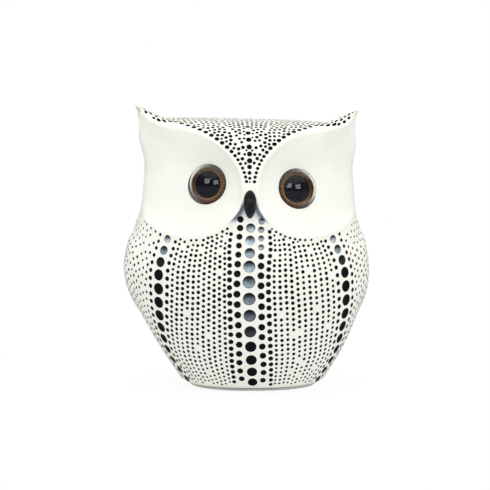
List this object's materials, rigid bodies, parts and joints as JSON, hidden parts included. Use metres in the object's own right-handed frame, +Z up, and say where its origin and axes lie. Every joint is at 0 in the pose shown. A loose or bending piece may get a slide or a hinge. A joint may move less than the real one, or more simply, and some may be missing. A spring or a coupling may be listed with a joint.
{
  "type": "owl figurine",
  "caption": "White owl figurine with concave facial discs, ear tufts, inset doll's eyes and a small black beak, on a flat base.",
  "frame": {"origin": "middle of the figurine's box, on the surface that it stands on", "axes": "+Z up through the head; the owl faces -Y; +X is to the right as seen from the front"},
  "size_m": [0.0958, 0.073, 0.1107],
  "materials": {
    "body": "satin",
    "beak": "gloss",
    "eye_lens": "polished",
    "eye_iris": "gloss",
    "eye_pupil": "gloss",
    "eye_back": "matte",
    "stopper": "matte",
    "felt": "matte"
  },
  "bodies": {
    "root": {"body_casting": "body", "beak": "beak", "left_eye_lens": "eye_lens", "left_eye_iris": "eye_iris", "left_eye_pupil": "eye_pupil", "left_eye_back": "eye_back", "right_eye_lens": "eye_lens", "right_eye_iris": "eye_iris", "right_eye_pupil": "eye_pupil", "right_eye_back": "eye_back", "base_stopper": "stopper", "base_felt": "felt"}
  },
  "joints": []
}
